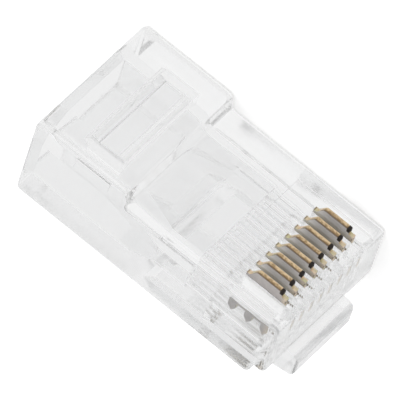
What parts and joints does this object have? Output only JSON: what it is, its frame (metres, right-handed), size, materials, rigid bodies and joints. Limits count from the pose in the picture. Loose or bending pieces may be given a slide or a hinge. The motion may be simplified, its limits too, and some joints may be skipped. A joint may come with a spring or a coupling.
{
  "type": "rj45 modular plug",
  "caption": "Clear modular plug for network cable: moulded body with a sprung latch, a jacket clamp and a row of gold-plated contact blades, uncrimped.",
  "frame": {"origin": "on the surface that the plug lies on, under the middle of its box", "axes": "+X from the cable end to the nose, the way it is pushed into a jack; +Y out of the contact side; +Z across the width, because the plug lies on one of its two flat sides"},
  "size_m": [0.0224, 0.0122, 0.0117],
  "materials": {
    "clear_polycarbonate": "clear, glossy moulded polycarbonate",
    "gold_plated_contact": "gold-plated stamped copper alloy, crowns bright and sheared sides greyer"
  },
  "bodies": {
    "housing": {"housing": "clear_polycarbonate"},
    "latch": {"latch": "clear_polycarbonate"},
    "jacket_clamp": {"jacket_clamp": "clear_polycarbonate"},
    "contact_1": {"contact_1": "gold_plated_contact"},
    "contact_2": {"contact_2": "gold_plated_contact"},
    "contact_3": {"contact_3": "gold_plated_contact"},
    "contact_4": {"contact_4": "gold_plated_contact"},
    "contact_5": {"contact_5": "gold_plated_contact"},
    "contact_6": {"contact_6": "gold_plated_contact"},
    "contact_7": {"contact_7": "gold_plated_contact"},
    "contact_8": {"contact_8": "gold_plated_contact"}
  },
  "joints": [
    {"name": "latch_press", "type": "hinge", "parent": "housing", "child": "latch", "pos_m": [0.00942, -0.00112, 0.00584], "axis": [0, 0, -1], "range_deg": [0, 12], "stiffness_Nm_per_rad": 0.1},
    {"name": "clamp_press", "type": "hinge", "parent": "housing", "child": "jacket_clamp", "pos_m": [-0.00777, 0.00533, 0.00584], "axis": [0, 0, -1], "range_deg": [0, 30]},
    {"name": "contact_1_crimp", "type": "slide", "parent": "housing", "child": "contact_1", "axis": [0, -1, 0], "range_m": [0, 0.0012]},
    {"name": "contact_2_crimp", "type": "slide", "parent": "housing", "child": "contact_2", "axis": [0, -1, 0], "range_m": [0, 0.0012]},
    {"name": "contact_3_crimp", "type": "slide", "parent": "housing", "child": "contact_3", "axis": [0, -1, 0], "range_m": [0, 0.0012]},
    {"name": "contact_4_crimp", "type": "slide", "parent": "housing", "child": "contact_4", "axis": [0, -1, 0], "range_m": [0, 0.0012]},
    {"name": "contact_5_crimp", "type": "slide", "parent": "housing", "child": "contact_5", "axis": [0, -1, 0], "range_m": [0, 0.0012]},
    {"name": "contact_6_crimp", "type": "slide", "parent": "housing", "child": "contact_6", "axis": [0, -1, 0], "range_m": [0, 0.0012]},
    {"name": "contact_7_crimp", "type": "slide", "parent": "housing", "child": "contact_7", "axis": [0, -1, 0], "range_m": [0, 0.0012]},
    {"name": "contact_8_crimp", "type": "slide", "parent": "housing", "child": "contact_8", "axis": [0, -1, 0], "range_m": [0, 0.0012]}
  ]
}
